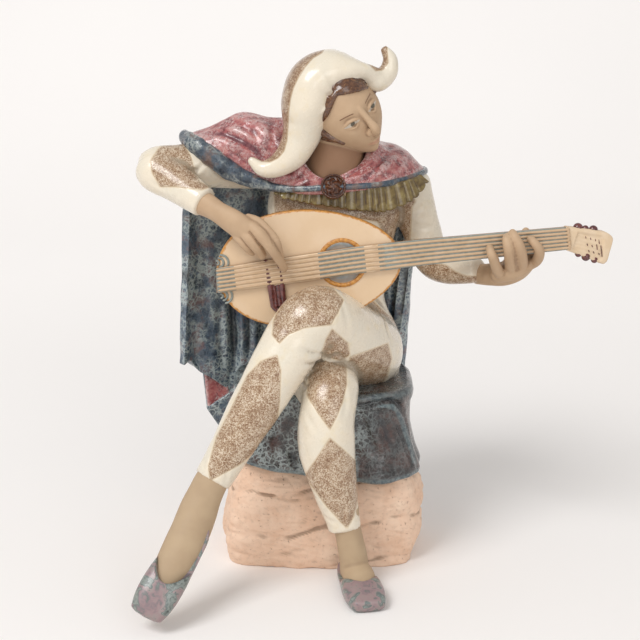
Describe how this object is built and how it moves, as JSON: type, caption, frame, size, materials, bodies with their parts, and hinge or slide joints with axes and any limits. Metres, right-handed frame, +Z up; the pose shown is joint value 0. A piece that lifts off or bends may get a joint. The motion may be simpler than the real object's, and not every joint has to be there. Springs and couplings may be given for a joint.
{
  "type": "commedia dell'arte figure",
  "caption": "Seated harlequin in a horned cap and diamond costume, legs crossed, playing a long-necked lute on a cloth-covered rock; glazed stoneware.",
  "frame": {"origin": "centre of the rock's flat underside, on the surface the figure stands on", "axes": "+Z up, +X to the viewer's right and towards the lute's pegbox, +Y away from the viewer, towards the cape"},
  "size_m": [0.4245, 0.2971, 0.4762],
  "materials": {
    "stoneware": "satin glazed stoneware",
    "costume_glaze": "ivory gloss glaze with brown sponged diamonds",
    "cap_glaze": "ivory gloss glaze with a brown sponged back panel",
    "bare_skin": "matte tan stoneware",
    "hair_glaze": "gloss chestnut brown glaze",
    "shawl_glaze": "mottled crimson gloss glaze",
    "cape_glaze": "mottled slate-blue and plum gloss glaze",
    "ruff_glaze": "olive gold gloss glaze",
    "brooch_glaze": "dark red-brown gloss glaze",
    "lute_glaze": "cream satin glaze with an orange rim",
    "string_glaze": "satin tan ridges with blue-grey grooves",
    "peg_glaze": "dark maroon gloss glaze",
    "shoe_glaze": "grey-green and mauve swirled satin glaze",
    "rock_body": "matte pinkish sand stoneware"
  },
  "bodies": {
    "root": {"harlequin_figure": "stoneware"}
  },
  "joints": []
}
